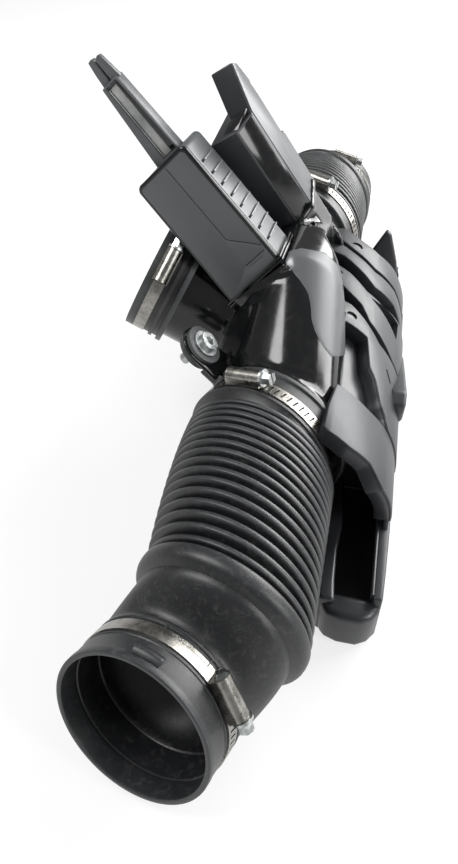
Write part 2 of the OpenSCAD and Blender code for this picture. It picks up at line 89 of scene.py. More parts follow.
class Nodes:
    """A material's node tree, with one method that adds a node."""

    def __init__(self, name: str) -> None:
        """Makes a new material with an empty tree."""
        self.material = bpy.data.materials.new(name)
        self.material.use_nodes = True
        self.tree = self.material.node_tree
        self.tree.nodes.clear()
        self.place = self.add("TexCoord").outputs["Object"]

    def add(self, kind: str, settings: Optional[dict] = None, **inputs: object) -> bpy.types.Node:
        """Adds a node, sets its properties and fills or links its sockets.

        Args:
            kind: The node's type without "ShaderNode".
            settings: Properties of the node itself.
            **inputs: Socket values or linked output sockets, by name with underscores for
                spaces, or by number as i0, i1 and so on.

        Returns:
            The new node.
        """
        node = self.tree.nodes.new("ShaderNode" + kind)
        for key, value in (settings or {}).items():
            setattr(node, key, value)
        for key, value in inputs.items():
            socket = node.inputs[int(key[1:])] if key[1:].isdigit() else node.inputs[key.replace("_", " ")]
            if isinstance(value, bpy.types.NodeSocket):
                self.tree.links.new(value, socket)
            else:
                socket.default_value = value
        return node

    def math(self, operation: str, first: object, second: object = 0.0,
             clamp: bool = False) -> bpy.types.NodeSocket:
        """Adds a Math node and gives its output."""
        return self.add("Math", {"operation": operation, "use_clamp": clamp}, i0=first, i1=second).outputs[0]

    def noise(self, size_mm: float, detail: float = 3.0, rough: float = 0.55, warp: float = 0.0,
              place: Optional[bpy.types.NodeSocket] = None) -> bpy.types.NodeSocket:
        """Adds a noise with features of a size in millimetres and gives its value."""
        return self.add("TexNoise", Vector=place or self.place, Scale=1000 / size_mm, Detail=detail,
                        Roughness=rough, Distortion=warp).outputs["Fac"]

    def ramp(self, factor: bpy.types.NodeSocket, *stops: tuple[float, str]) -> bpy.types.NodeSocket:
        """Adds a colour ramp with stops of a place and a hex colour and gives its colour."""
        node = self.add("ValToRGB", Fac=factor)
        elements = node.color_ramp.elements
        while len(elements) < len(stops):
            elements.new(0.5)
        for element, (place, colour) in zip(elements, stops):
            element.position = place
            element.color = linear(colour)
        return node.outputs["Color"]

    def blend(self, factor: bpy.types.NodeSocket, colour: bpy.types.NodeSocket,
              over: str) -> bpy.types.NodeSocket:
        """Lays a hex colour over another colour by a factor and gives the result."""
        return self.add("Mix", {"data_type": "RGBA"}, i0=factor, i6=colour, i7=linear(over)).outputs[2]

    def span(self, value: bpy.types.NodeSocket, start: float, end: float,
             low: float = 0.0, high: float = 1.0) -> bpy.types.NodeSocket:
        """Maps a value from start..end to low..high and gives the result."""
        return self.add("MapRange", Value=value, From_Min=start, From_Max=end, To_Min=low,
                        To_Max=high).outputs["Result"]

    def finish(self, **inputs: object) -> bpy.types.Material:
        """Ends the tree with the shader and the output and gives the material."""
        shader = self.add("BsdfPrincipled", **inputs)
        self.add("OutputMaterial", Surface=shader.outputs["BSDF"])
        return self.material


# Finishes


@dataclass(frozen=True)
class MouldedPlastic:
    """Blow moulded polypropylene: one body colour, faint flow waves, fine grain and settled dust."""

    name: str
    dark: str
    light: str
    rough: tuple[float, float]
    grain_mm: float = 0.9
    grain: float = 0.1
    wave: float = 0.0
    dust: float = 0.12

    def material(self) -> bpy.types.Material:
        """Builds the node tree and gives the material."""
        n = Nodes(self.name)
        cloud = n.noise(55.0, 4.0, 0.6)
        smear = n.noise(11.0, 5.0, 0.7, 0.6)
        grain = n.noise(self.grain_mm, 2.0)
        wave = n.noise(24.0, 1.0, 0.4)
        colour = n.ramp(cloud, (0.34, self.dark), (0.68, self.light))
        dusty = n.blend(n.math("MULTIPLY", n.span(smear, 0.5, 0.78), self.dust), colour, "#a39c90")
        height = n.math("ADD", n.math("MULTIPLY", grain, self.grain),
                        n.math("MULTIPLY", wave, self.wave * 20))
        bump = n.add("Bump", Strength=0.25, Distance=0.0006, Height=height).outputs["Normal"]
        return n.finish(Base_Color=dusty, Roughness=n.span(smear, 0.3, 0.7, *self.rough), Normal=bump,
                        IOR=1.49)


@dataclass(frozen=True)
class MouldedRubber:
    """Injection moulded EPDM rubber: satin black with a soft bloom, handling scuffs and a fine skin."""

    name: str
    bloom: float = 0.35
    rough: tuple[float, float] = (0.36, 0.52)

    def material(self) -> bpy.types.Material:
        """Builds the node tree and gives the material."""
        n = Nodes(self.name)
        cloud = n.noise(38.0, 5.0, 0.65, 0.4)
        scuff = n.noise(6.0, 6.0, 0.8, 1.2)
        skin = n.noise(1.3, 3.0, 0.6)
        colour = n.ramp(cloud, (0.3, "#151618"), (0.7, "#1c1d1f"))
        bloom = n.blend(n.math("MULTIPLY", n.span(scuff, 0.52, 0.8), self.bloom), colour, "#6d6d6c")
        edge = n.span(n.add("NewGeometry").outputs["Pointiness"], 0.52, 0.6)
        worn = n.blend(n.math("MULTIPLY", edge, 0.25), bloom, "#707274")
        bump = n.add("Bump", Strength=0.18, Distance=0.0005, Height=n.math(
            "ADD", n.math("MULTIPLY", skin, 0.35), scuff)).outputs["Normal"]
        return n.finish(Base_Color=worn, Roughness=n.span(scuff, 0.3, 0.75, *self.rough), Normal=bump,
                        IOR=1.52)


@dataclass(frozen=True)
class RolledSteel:
    """Rolled or plated steel: pale metal with fine drawn lines, dull patches and a little tarnish."""

    name: str
    bright: str
    dull: str
    rough: tuple[float, float]
    tarnish: str = "#6b5f4e"
    tarnish_share: float = 0.25
    lines_mm: float = 0.35

    def material(self) -> bpy.types.Material:
        """Builds the node tree and gives the material."""
        n = Nodes(self.name)
        patch = n.noise(7.0, 5.0, 0.7, 0.5)
        drawn = n.noise(self.lines_mm, 2.0, 0.5)
        spot = n.span(n.noise(3.0, 6.0, 0.8), 0.56, 0.72)
        colour = n.ramp(patch, (0.3, self.dull), (0.62, self.bright))
        stained = n.blend(n.math("MULTIPLY", spot, self.tarnish_share), colour, self.tarnish)
        bump = n.add("Bump", Strength=0.12, Distance=0.0002, Height=drawn).outputs["Normal"]
        return n.finish(Base_Color=stained, Metallic=1.0, Roughness=n.span(patch, 0.3, 0.7, *self.rough),
                        Normal=bump)


@dataclass(frozen=True)
class StudioFloor:
    """Matt white paper sweep that keeps the object's soft shadow and shows as white to the camera."""

    name: str = "paper_floor"
    tone: str = "#f4f4f4"
    lift: float = 0.75

    def material(self) -> bpy.types.Material:
        """Builds the node tree and gives the material."""
        n = Nodes(self.name)
        fibre = n.ramp(n.noise(14.0, 3.0), (0.3, "#f2f2f2"), (0.7, self.tone))
        paper = n.add("BsdfDiffuse", Color=fibre)
        glow = n.add("Emission", Color=linear("#ffffff"), Strength=1.0)
        path = n.add("LightPath")
        seen = n.math("MAXIMUM", path.outputs["Is Camera Ray"], path.outputs["Is Glossy Ray"])
        share = n.math("MULTIPLY", seen, self.lift)
        mixed = n.add("MixShader", i0=share, i1=paper.outputs[0], i2=glow.outputs[0])
        n.add("OutputMaterial", Surface=mixed.outputs[0])
        return n.material


class Finish(Enum):
    """The finishes of the object, each built once."""

    GLOSS = MouldedPlastic("gloss_black_polypropylene", "#0b0c0d", "#0f1012", (0.1, 0.17), grain=0.02,
                           wave=0.015, dust=0.02)
    NIGHT = MouldedPlastic("satin_black_polypropylene", "#242528", "#28292c", (0.3, 0.36), grain=0.02,
                           dust=0.0)
    SATIN = MouldedPlastic("satin_grey_polypropylene", "#4a4c4e", "#4e5052", (0.38, 0.42), grain=0.02,
                           dust=0.0)
    PANEL = MouldedPlastic("satin_panel_polypropylene", "#222427", "#26282b", (0.4, 0.46), grain=0.02,
                           dust=0.0)
    # Pale mottled grey: painted reflection of the lamps on glossy black plastic, for the horn's channel and
    # the silencer's recess
    PAINTED_GLARE = MouldedPlastic("pale_painted_reflection_polypropylene", "#5c5e60", "#b4b5b2", (0.12, 0.3), grain=0.02,
                           dust=0.5)
    RUBBER = MouldedRubber("moulded_epdm_rubber")
    STRIP = RolledSteel("rolled_stainless_strip", "#a09e99", "#716e68", (0.2, 0.38))
    ZINC = RolledSteel("zinc_plated_steel", "#cfd2d0", "#93979a", (0.26, 0.45), tarnish="#5a5d5e")


MADE: dict[Finish, bpy.types.Material] = {}


def finish(kind: Finish) -> bpy.types.Material:
    """Gives a finish's material and builds it when it is first asked for."""
    if kind not in MADE:
        MADE[kind] = kind.value.material()
    return MADE[kind]


def dress(name: str, kind: Finish) -> None:
    """Gives a CAD node that stays in sight a finish through its material slots.

    Args:
        name: The node's name.
        kind: The finish.
    """
    for slot in NODES[name].material_slots:
        slot.material = finish(kind)
    LOG.info("%s keeps its CAD mesh in %s", name, finish(kind).name)


# Studio


@dataclass
class Studio:
    """Camera, floor and plain soft lights."""

    eye: Vector = field(default_factory=lambda: Vector((73.98, -491.76, 430.0)))
    right: Vector = field(default_factory=lambda: Vector((0.978, 0.209, 0.0)))
    up: Vector = field(default_factory=lambda: Vector((-0.143, 0.670, 0.729)))
    lens_mm: float = 29.17
    sensor_mm: float = 36.0
    floor_size: float = 9.0
    floor_drop: float = 0.0004
    ambient: float = 0.3

    def camera(self) -> None:
        """Places the camera at the photograph's viewing angle and makes it the scene's own."""
        data = bpy.data.cameras.new("camera")
        data.sensor_fit = "VERTICAL"
        data.sensor_height = self.sensor_mm
        data.lens = self.lens_mm
        camera = bpy.data.objects.new("camera", data)
        bpy.context.scene.collection.objects.link(camera)
        right = self.right.normalized()
        up = (self.up - right * self.up.dot(right)).normalized()
        turn = Matrix((right, up, right.cross(up))).transposed()
        camera.matrix_world = Matrix.Translation(self.eye * MM) @ turn.to_4x4()
        bpy.context.scene.camera = camera

    def floor(self) -> None:
        """Lays the pale floor."""
        bpy.ops.mesh.primitive_plane_add(size=self.floor_size, location=(0.0, 0.0, -self.floor_drop))
        floor = bpy.context.object
        floor.name = "floor"
        floor.data.materials.append(StudioFloor().material())

    def lamp(self, name: str, place: Sequence[float], target: Sequence[float], size: tuple[float, float],
             power: float) -> None:
        """Adds a soft rectangular lamp.

        Args:
            name: The lamp's name.
            place: Where it hangs, in metres.
            target: What it points to, in metres.
            size: Its width and height in metres.
            power: Its power in watts.
        """
        data = bpy.data.lights.new(name, "AREA")
        data.shape = "RECTANGLE"
        data.size, data.size_y = size
        data.energy = power
        lamp = bpy.data.objects.new(name, data)
        bpy.context.scene.collection.objects.link(lamp)
        lamp.location = place
        lamp.rotation_euler = (Vector(target) - Vector(place)).to_track_quat("-Z", "Y").to_euler()

    def world(self) -> None:
        """Makes an even white surround whose own light stays moderate."""
        world = bpy.data.worlds.new("studio")
        bpy.context.scene.world = world
        world.use_nodes = True
        tree = world.node_tree
        tree.nodes.clear()
        path = tree.nodes.new("ShaderNodeLightPath")
        seen = tree.nodes.new("ShaderNodeMath")
        seen.operation = "MAXIMUM"
        tree.links.new(path.outputs["Is Camera Ray"], seen.inputs[0])
        tree.links.new(path.outputs["Is Transmission Ray"], seen.inputs[1])
        level = tree.nodes.new("ShaderNodeMapRange")
        level.inputs["To Min"].default_value = self.ambient
        level.inputs["To Max"].default_value = 1.0
        tree.links.new(seen.outputs[0], level.inputs["Value"])
        sky = tree.nodes.new("ShaderNodeBackground")
        sky.inputs["Color"].default_value = linear("#ffffff")
        tree.links.new(level.outputs["Result"], sky.inputs["Strength"])
        out = tree.nodes.new("ShaderNodeOutputWorld")
        tree.links.new(sky.outputs[0], out.inputs["Surface"])

    def build(self) -> None:
        """Sets the whole studio up."""
        self.camera()
        self.floor()
        self.lamp("key", (-0.9, -0.4, 1.6), (0.0, 0.0, 0.1), (0.8, 0.8), 24.0)
        self.lamp("side", (1.15, 1.1, 0.95), (0.0, 0.1, 0.15), (1.6, 1.3), 70.0)
        self.lamp("fill", (1.4, -0.6, 0.9), (0.0, -0.1, 0.1), (0.6, 0.9), 14.0)
        self.world()
        bpy.context.scene.view_settings.view_transform = "Standard"


# Modelling


HALF_TURN = Matrix.Translation((-10.0, 53.0, 8.0)) @ Matrix.Rotation(math.pi, 4, "Z")


def turned(about_z: float, about_x: float) -> Matrix:
    """Gives the turn that first tips by one angle about X and then swings by another about Z, in degrees."""
    return Matrix.Rotation(math.radians(about_z), 3, "Z") @ Matrix.Rotation(math.radians(about_x), 3, "X")


def placed(place: Sequence[float], turn: Matrix) -> Matrix:
    """Joins a place and a turn to one transform."""
    return Matrix.Translation(place) @ turn.to_4x4()


def release() -> None:
    """Leaves edit mode and deselects everything."""
    if bpy.context.object and bpy.context.object.mode != "OBJECT":
        bpy.ops.object.mode_set(mode="OBJECT")
    bpy.ops.object.select_all(action="DESELECT")


def use(thing: bpy.types.Object) -> bpy.types.Object:
    """Makes one object the only selected and active one."""
    release()
    thing.select_set(True)
    bpy.context.view_layer.objects.active = thing
    return thing


def modify(thing: bpy.types.Object, kind: str, **settings: object) -> None:
    """Adds a modifier to an object and applies it.

    Args:
        thing: The object.
        kind: The modifier's type.
        **settings: The modifier's properties.
    """
    use(thing)
    modifier = thing.modifiers.new(kind.lower(), kind)
    for key, value in settings.items():
        setattr(modifier, key, value)
    bpy.ops.object.modifier_apply(modifier=modifier.name)


def soften_edges(thing: bpy.types.Object, width: float, segments: int, sharper_than: float) -> None:
    """Rounds an object's edges.

    Args:
        thing: The object.
        width: Width of the bevel.
        segments: Number of faces across the bevel.
        sharper_than: Angle in degrees over which an edge counts.
    """
    modify(thing, "BEVEL", width=width, segments=segments, limit_method="ANGLE",
           angle_limit=math.radians(sharper_than))


def seat(thing: bpy.types.Object, at: Optional[Matrix] = None) -> bpy.types.Object:
    """Puts an object's place into its mesh.

    Args:
        thing: The object, modelled in millimetres.
        at: Transform that carries it there, or none to bake the one it has.

    Returns:
        The same object with its own transform at rest.
    """
    use(thing)
    if at is not None:
        thing.matrix_world = at @ thing.matrix_world
        bpy.context.view_layer.update()
    bpy.ops.object.transform_apply(location=True, rotation=True, scale=True)
    return thing


def cut(thing: bpy.types.Object, tool: bpy.types.Object, operation: str = "DIFFERENCE") -> None:
    """Cuts, joins or intersects an object with another one and removes that one."""
    modify(thing, "BOOLEAN", object=tool, operation=operation, solver="EXACT")
    bpy.data.objects.remove(tool)


def join(things: Sequence[bpy.types.Object], name: str) -> bpy.types.Object:
    """Joins objects to one and names it."""
    use(things[0])
    for thing in things[1:]:
        thing.select_set(True)
    bpy.ops.object.join()
    things[0].name = name
    return things[0]


def smooth(thing: bpy.types.Object, angle: float = 35.0) -> bpy.types.Object:
    """Shades an object smooth but for edges sharper than an angle in degrees."""
    use(thing)
    bpy.ops.object.shade_smooth_by_angle(angle=math.radians(angle))
    return thing


def mend(thing: bpy.types.Object, distance: float = 0.01) -> bpy.types.Object:
    """Merges doubled vertices and turns all faces outwards."""
    use(thing)
    bpy.ops.object.mode_set(mode="EDIT")
    bpy.ops.mesh.select_all(action="SELECT")
    bpy.ops.mesh.remove_doubles(threshold=distance)
    bpy.ops.mesh.normals_make_consistent(inside=False)
    release()
    return thing


def hand_over(thing: bpy.types.Object, kind: Finish, slot: str, *nodes: str) -> bpy.types.Object:
    """Ends a piece: into metres, with its finish, riding on the body and standing for CAD nodes.

    Args:
        thing: The piece, in millimetres in the part's own axes.
        kind: Its finish.
        slot: The name of a material slot in the record; not used.
        *nodes: The CAD nodes that it stands for.

    Returns:
        The piece.
    """
    seat(thing, TO_SCENE)
    thing.data.materials.clear()
    thing.data.materials.append(finish(kind))
    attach(thing, "root")
    if nodes:
        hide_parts(*nodes)
    LOG.info("%s: %d faces in %s", thing.name, len(thing.data.polygons), finish(kind).name)
    return thing


class Loft:
    """A tube drawn ring by ring: the open edge is extruded, moved, scaled and turned."""

    def __init__(self, name: str, centre: Vector, turn: Matrix, radius: float, sides: int = 96) -> None:
        """Adds the first ring and opens it for editing."""
        release()
        bpy.ops.mesh.primitive_circle_add(vertices=sides, radius=radius, location=centre,
                                          rotation=turn.to_euler())
        self.thing = bpy.context.object
        self.thing.name = name
        seat(self.thing)
        self.centre, self.turn, self.radius = Vector(centre), turn.to_3x3(), radius
        bpy.ops.object.mode_set(mode="EDIT")
        bpy.ops.mesh.select_mode(type="EDGE")
        bpy.ops.mesh.select_all(action="SELECT")

    def ring(self, centre: Vector, turn: Matrix, radius: float) -> None:
        """Draws the tube on to another ring.

        Args:
            centre: The ring's middle.
            turn: The ring's turn, its axis along Z.
            radius: The ring's radius.
        """
        bpy.ops.mesh.extrude_region_move(TRANSFORM_OT_translate={"value": centre - self.centre})
        share = radius / self.radius
        bpy.ops.transform.resize(value=(share, share, share), center_override=centre)
        change = (turn @ self.turn.transposed()).to_euler("XYZ")
        for name, angle in zip("XYZ", change):
            if abs(angle) > 1e-5:
                bpy.ops.transform.rotate(value=-angle, orient_axis=name, center_override=centre)
        self.centre, self.turn, self.radius = Vector(centre), turn.copy(), radius

    def along(self, at: Matrix, profile: Sequence[tuple[float, float]]) -> None:
        """Draws rings along a straight axis.

        Args:
            at: Transform whose Z is the axis.
            profile: Distances along the axis with their radii.
        """
        for distance, radius in profile:
            self.ring(at @ Vector((0.0, 0.0, distance)), at.to_3x3(), radius)

    def close(self) -> bpy.types.Object:
        """Joins the last ring to the first one and gives the finished shell."""
        bpy.ops.mesh.select_all(action="DESELECT")
        bpy.ops.mesh.select_non_manifold()
        bpy.ops.mesh.bridge_edge_loops()
        bpy.ops.mesh.select_all(action="SELECT")
        bpy.ops.mesh.normals_make_consistent(inside=False)
        release()
        return self.thing


def sweep(name: str, outline: Sequence[tuple[float, float]], start: float, angle: float,
          steps: int = 24, soften: float = 0.4) -> bpy.types.Object:
    """Spins a small section about Z to a curved bar.

    Args:
        name: The object's name.
        outline: The section's corners as radius and height.
        start: Angle at which the bar begins, in degrees.
        angle: Angle that it covers, in degrees.
        steps: Number of steps of the spin.
        soften: Width of the bevel on its edges.

    Returns:
        The bar.
    """
    section = outline_face(name, [(radius, 0.0, height) for radius, height in outline])
    bpy.ops.mesh.spin(steps=steps, angle=-math.radians(angle), center=(0.0, 0.0, 0.0), axis=(0.0, 0.0, 1.0))
    release()
    section.rotation_euler = (0.0, 0.0, math.radians(start))
    seat(section)
    mend(section)
    if soften:
        soften_edges(section, soften, 2, 40.0)
    return section


def outline_face(name: str, corners: Sequence[Sequence[float]]) -> bpy.types.Object:
    """Draws a face corner by corner and leaves it open for editing, all of it selected.

    Args:
        name: The object's name.
        corners: Its corners in order.

    Returns:
        The object, in edit mode.
    """
    release()
    bpy.ops.mesh.primitive_plane_add(size=1.0, location=(0.0, 0.0, 0.0))
    thing = bpy.context.object
    thing.name = name
    bpy.ops.object.mode_set(mode="EDIT")
    bpy.ops.mesh.select_mode(type="VERT")
    bpy.ops.mesh.merge(type="CENTER")
    bpy.ops.transform.translate(value=Vector(corners[0]))
    for before, after in zip(corners, corners[1:]):
        bpy.ops.mesh.extrude_region_move(TRANSFORM_OT_translate={"value": Vector(after) - Vector(before)})
    bpy.ops.mesh.select_all(action="SELECT")
    bpy.ops.mesh.edge_face_add()
    return thing


def prism(name: str, corners: Sequence[Sequence[float]], depth: Sequence[float], soften: float = 0.0,
          segments: int = 2) -> bpy.types.Object:
    """Extrudes an outline to a solid and rounds its edges.

    Args:
        name: The object's name.
        corners: The outline's corners.
        depth: The way that it is extruded.
        soften: Width of the bevel on its edges, or nothing.
        segments: Number of faces across the bevel.

    Returns:
        The solid.
    """
    thing = outline_face(name, corners)
    bpy.ops.mesh.extrude_region_move(TRANSFORM_OT_translate={"value": Vector(depth)})
    bpy.ops.mesh.select_all(action="SELECT")
    bpy.ops.mesh.normals_make_consistent(inside=False)
    release()
    if soften:
        soften_edges(thing, soften, segments, 30.0)
    return thing


class Axis(IntEnum):
    """The part's own axes, by their place among the coordinates."""

    X = 0
    Y = 1
    Z = 2


def extruded(name: str, axis: Axis, start: float, corners: Sequence[Point2], depth: float,
             soften: float = 0.0, segments: int = 2) -> bpy.types.Object:
    """Extrudes an outline along one axis.

    Args:
        name: The object's name.
        axis: The axis that it is extruded along.
        start: Where it begins on that axis.
        corners: The outline's corners on the other two axes.
        depth: How far it goes.
        soften: Width of the bevel on its edges, or nothing.
        segments: Number of faces across the bevel.

    Returns:
        The solid.
    """
    way = [0.0, 0.0, 0.0]
    way[axis] = depth
    return prism(name, [(*at[:axis], start, *at[axis:]) for at in corners], way, soften, segments)


# Hoses


@dataclass
class Hose:
    """Corrugated rubber hose with a sleeve on the spigot, a smooth collar, a bend and a clamped mouth."""

    name: str
    mouth_place: tuple[float, float, float]
    mouth_turn: tuple[float, float]
    fall: tuple[float, float]
    carry: Matrix = field(default_factory=lambda: Matrix.Identity(4))
    spigot_place: tuple[float, float, float] = (-2.0, -131.0, 83.0)
    spigot_yaw: float = 20.0
    sleeve_r: float = 54.5
    spigot_r: float = 51.0
    start: float = 140.0
    crests: int = 16
    pitch: float = 6.5
    yaw: float = 17.0
    crest_r: float = 56.9
    root_r: float = 52.6
    bore_r: float = 48.0
    collar_r: float = 58.0
    collar_len: float = 13.0
    cuff_r: float = 49.5
    lip_r: float = 50.0
    lowest: float = 0.05
    wall: float = 3.5
    mouth_len: float = 34.0
    bend_rings: int = 14
    bend_r: float = 50.8
    bend_taper: float = 1.6
    bend_swell: float = 0.9
    bend_pull: float = 0.9
    axis_x: float = -1.0
    axis_z: float = 83.0
    sleeve_foot: float = -24.0
    crease: float = 38.0

    @property
    def step(self) -> float:
        """Distance of two corrugations along Y."""
        return self.pitch / math.cos(math.radians(self.yaw))

    @property
    def spigot(self) -> Matrix:
        """Transform of the spigot, Z out of the plenum."""
        return placed(self.spigot_place, turned(-self.spigot_yaw, 90.0))

    @property
    def mouth(self) -> Matrix:
        """Transform of the mouth, Z out of the hose."""
        return placed(self.mouth_place, turned(-self.mouth_turn[0], 90.0 + self.mouth_turn[1]))

    def crest(self, distance: float, share: float) -> Matrix:
        """Gives the transform of a corrugation.

        Args:
            distance: Its distance from the middle of the part.
            share: Its share of the way along the corrugations.

        Returns:
            The transform, Z out along the hose.
        """
        drop = 2.0 - (self.fall[0] - self.fall[1]) * share + self.fall[0] * share * share
        return placed((self.axis_x, -distance, self.axis_z - drop), turned(-self.yaw, 90.0))

    def bend(self, inset: float) -> list[tuple[Vector, Matrix, float]]:
        """Gives the rings of the bend between the collar and the mouth.

        Args:
            inset: How far they lie inside the hose's skin.

        Returns:
            Each ring's middle, turn and radius.
        """
        start = self.crest(self.start + self.crests * self.step, 1.0) @ Matrix.Translation(
            (0.0, 0.0, self.collar_len + 1.2))
        end = self.mouth @ Matrix.Translation((0.0, 0.0, -self.mouth_len - 1.0))
        a, b = start.translation, end.translation
        pull = (b - a).length * self.bend_pull
        leave, arrive = start.col[2].xyz * pull, end.col[2].xyz * pull
        first, last = start.to_quaternion(), end.to_quaternion()
        rings = []
        for k in range(self.bend_rings):
            t = k / (self.bend_rings - 1)
            centre = ((2 * t ** 3 - 3 * t ** 2 + 1) * a + (t ** 3 - 2 * t ** 2 + t) * leave
                      + (3 * t ** 2 - 2 * t ** 3) * b + (t ** 3 - t ** 2) * arrive)
            radius = self.bend_r - self.bend_taper * t + self.bend_swell * math.sin(math.pi * t)
            rings.append((centre, first.slerp(last, t).to_matrix(), radius - inset))
        return rings

    def body(self) -> bpy.types.Object:
        """Draws the hose's skin from the sleeve to the mouth and back through its bore."""
        out = Loft(self.name, self.spigot @ Vector((0.0, 0.0, self.sleeve_foot)), self.spigot.to_3x3(),
                   self.spigot_r + 0.2)
        r = self.sleeve_r
        out.along(self.spigot, [(self.sleeve_foot, r + 0.8), (-23.3, r + 1.5), (-20.7, r + 1.5),
                                (-20.0, r + 0.7), (-19.4, r), (-12.0, r), (-0.5, r), (0.4, r + 0.9),
                                (2.2, r + 0.9), (3.0, r - 0.4)])
        half = self.pitch / 2
        rib = [(-half, self.root_r), (-2.4, self.root_r + 0.2), (-2.0, self.crest_r - 1.4),
               (-1.6, self.crest_r - 0.4), (-1.0, self.crest_r), (1.0, self.crest_r),
               (1.6, self.crest_r - 0.4), (2.0, self.crest_r - 1.4), (2.4, self.root_r + 0.2)]
        for k in range(self.crests):
            out.along(self.crest(self.start + (k + 0.5) * self.step, k / (self.crests - 1)), rib)
        end = self.crest(self.start + self.crests * self.step, 1.0)
        c = self.collar_r
        out.along(end, [(0.0, self.root_r), (0.7, c - 2.6), (1.5, c - 1.0), (2.6, c - 0.2), (4.0, c),
                        (6.0, c), (8.0, c - 0.3), (9.8, c - 1.1), (11.2, c - 2.3), (12.3, c - 3.9),
                        (13.2, c - 5.6)])
        for centre, turn, radius in self.bend(0.0):
            out.ring(centre, turn, radius)
        q, m = self.cuff_r, -self.mouth_len
        out.along(self.mouth, [(m, q), (m + 0.6, q + 0.9), (m + 2.2, q + 0.9), (m + 3.0, q), (m + 6.0, q),
                               (m + 15.0, q), (-17.4, q), (-16.8, q - 0.5), (-16.0, q - 0.5),
                               (-15.4, q + 0.2), (-6.0, q), (-4.6, self.lip_r), (-1.0, self.lip_r),
                               (-0.3, self.lip_r - 0.2), (0.0, self.lip_r - 0.7)])
        bore = self.cuff_r - self.wall + 0.5
        out.along(self.mouth, [(0.0, bore + 0.8), (-0.4, bore + 0.2), (-1.2, bore), (-13.0, bore),
                               (-13.6, bore + 0.8), (-14.6, bore + 0.8), (-15.2, bore), (m, bore)])
        for centre, turn, radius in reversed(self.bend(self.wall)):
            out.ring(centre, turn, radius)
        out.along(end, [(11.0, c - 6.0), (8.0, c - self.wall), (4.0, c - self.wall), (2.0, c - 6.0),
                        (0.0, self.bore_r)])
        for k in (self.crests - 4, self.crests // 2, 1):
            out.along(self.crest(self.start + (k + 0.5) * self.step, k / (self.crests - 1)),
                      [(0.0, self.bore_r)])
        out.along(self.spigot, [(3.0, self.bore_r), (2.0, self.spigot_r + 0.2)])
        return out.close()

    def moulding(self) -> list[bpy.types.Object]:
        """Makes the raised bars and the locating nubs around the mouth."""
        q = self.cuff_r
        low, high = q - 1.0, q + 0.9
        bars = [sweep("bar", [(low, z), (high, z), (high, z + 1.1), (low, z + 1.1)], 56.0, 36.0, 24, 0.35)
                for z in (-32.6, -26.6)]
        bars += [sweep("bar", [(low, -32.6), (high, -32.6), (high, -25.6), (low, -25.6)], a, 1.4, 2, 0.3)
                 for a in (56.0, 91.0)]
        bars.append(sweep("bump", [(low, -13.0), (q + 0.6, -12.0), (q + 3.0, -9.0), (q + 3.2, -7.0),
                                   (q + 1.2, -4.6), (low, -4.0)], 78.0, 20.0, 16, 1.2))
        bars.append(sweep("nub", [(low, -31.5), (q + 3.0, -31.5), (q + 3.0, -28.6), (low, -28.6)], 46.5,
                          4.5, 4, 0.6))
        for bar in bars:
            seat(bar, self.mouth)
        return bars

    def build(self) -> None:
        """Makes the hose and hands it over in its node's place."""
        whole = join([self.body(), *self.moulding()], self.name)
        seat(whole, self.carry)
        smooth(whole, self.crease)
        for vertex in whole.data.vertices:
            vertex.co.z = max(vertex.co.z, self.lowest)
        hand_over(whole, Finish.RUBBER, "hose", self.name.replace("rubber_", ""))


def hoses() -> list[Hose]:
    """Gives the two hoses; the far one is the near one's form half turned about Z."""
    return [Hose("rubber_hose_rh", (-36.0, -327.0, 57.3), (17.0, -17.0), (36.0, 16.0)),
            Hose("rubber_hose_lh", (-8.0, -324.0, 43.38), (0.0, -2.0), (30.0, 20.0), carry=HALF_TURN)]


# Resonator boxes


BOX_CREASE = 32.0
# Share of a direction along an axis over which an edge counts as parallel to it
ALONG = 0.99

def slab(name: str, low: Sequence[float], high: Sequence[float], corner: float,
         soften: float) -> bpy.types.Object:
    """Makes a slab with rounded corners, seen along Y.

    Args:
        name: The object's name.
        low: Its lowest corner.
        high: Its highest corner.
        corner: Radius of the four corners.
        soften: Width of the bevel on its other edges.

    Returns:
        The slab.
    """
    release()
    middle = [(a + b) / 2 for a, b in zip(low, high)]
    bpy.ops.mesh.primitive_cube_add(size=1.0, location=middle, scale=[b - a for a, b in zip(low, high)])
    thing = bpy.context.object
    thing.name = name
    seat(thing)
    select_edges(thing, lambda way: abs(way.y) > ALONG)
    bpy.ops.mesh.bevel(offset=corner, segments=6, affect="EDGES")
    release()
    if soften:
        soften_edges(thing, soften, 3, 50.0)
    return thing


def select_edges(thing: bpy.types.Object, test: Callable[[Vector], bool]) -> None:
    """Selects the edges whose direction passes a test and leaves the object open for editing."""
    use(thing)
    bpy.ops.object.mode_set(mode="EDIT")
    bpy.ops.mesh.select_mode(type="EDGE")
    bpy.ops.mesh.select_all(action="DESELECT")
    bpy.ops.object.mode_set(mode="OBJECT")
    mesh = thing.data
    for edge in mesh.edges:
        a, b = (mesh.vertices[i].co for i in edge.vertices)
        edge.select = test((b - a).normalized())
    bpy.ops.object.mode_set(mode="EDIT")


def groove(thing: bpy.types.Object, start: Point2, end: Point2, y: float, wide: float, deep: float) -> None:
    """Cuts a straight groove into a face that looks along -Y.

    Args:
        thing: The solid.
        start: Where it begins, as X and Z.
        end: Where it ends.
        y: Level of the face.
        wide: The groove's width.
        deep: The groove's depth.
    """
    a, b = Vector((start[0], 0.0, start[1])), Vector((end[0], 0.0, end[1]))
    side = (b - a).cross(Vector((0.0, 1.0, 0.0))).normalized() * wide / 2
    lift = Vector((0.0, y - 1.0, 0.0))
    tool = prism("tool", [a - side + lift, b - side + lift, b + side + lift, a + side + lift],
                 (0.0, 1.0 + deep, 0.0))
    cut(thing, tool)


